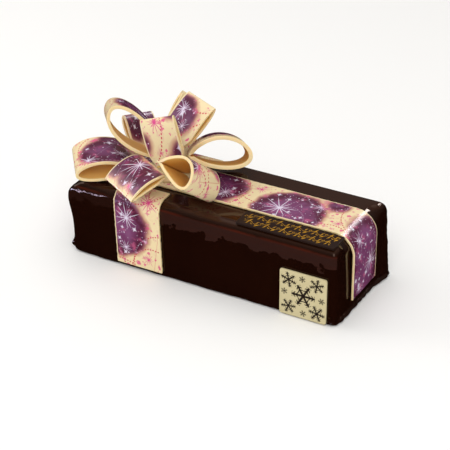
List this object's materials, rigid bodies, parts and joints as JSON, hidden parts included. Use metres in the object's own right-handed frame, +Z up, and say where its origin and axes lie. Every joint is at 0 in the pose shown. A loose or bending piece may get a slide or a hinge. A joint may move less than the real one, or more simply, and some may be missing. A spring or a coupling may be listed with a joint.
{
  "type": "yule log cake",
  "caption": "Long glazed cake shaped as a rounded block and dressed as a gift, with printed chocolate ribbons, a bow of chocolate loops and thin chocolate plaques.",
  "frame": {"origin": "centre of the cake's flat underside, between its ends and its long sides", "axes": "+Z up, +X along the cake towards the end with the plaques, +Y to the back"},
  "size_m": [0.2716, 0.1255, 0.1388],
  "materials": {
    "glaze": "dark mirror glaze",
    "printed_chocolate": "satin ivory chocolate printed in purple, pink and white",
    "dark_chocolate": "satin dark chocolate with gold flourishes",
    "ivory_chocolate": "satin ivory chocolate"
  },
  "bodies": {
    "root": {"cake_body": "glaze", "ribbon_long": "printed_chocolate", "ribbon_front": "printed_chocolate", "ribbon_back": "printed_chocolate", "plaque_top": "dark_chocolate", "plaque_front": "ivory_chocolate", "bow_knot": "ivory_chocolate", "loop_left": "printed_chocolate", "loop_front_left": "printed_chocolate", "loop_front_right": "printed_chocolate", "loop_right": "printed_chocolate", "loop_upper_left": "printed_chocolate", "loop_upper_front": "printed_chocolate", "loop_upper_right": "printed_chocolate", "loop_back_left": "printed_chocolate", "loop_upper_back": "printed_chocolate", "loop_back": "printed_chocolate"}
  },
  "joints": []
}
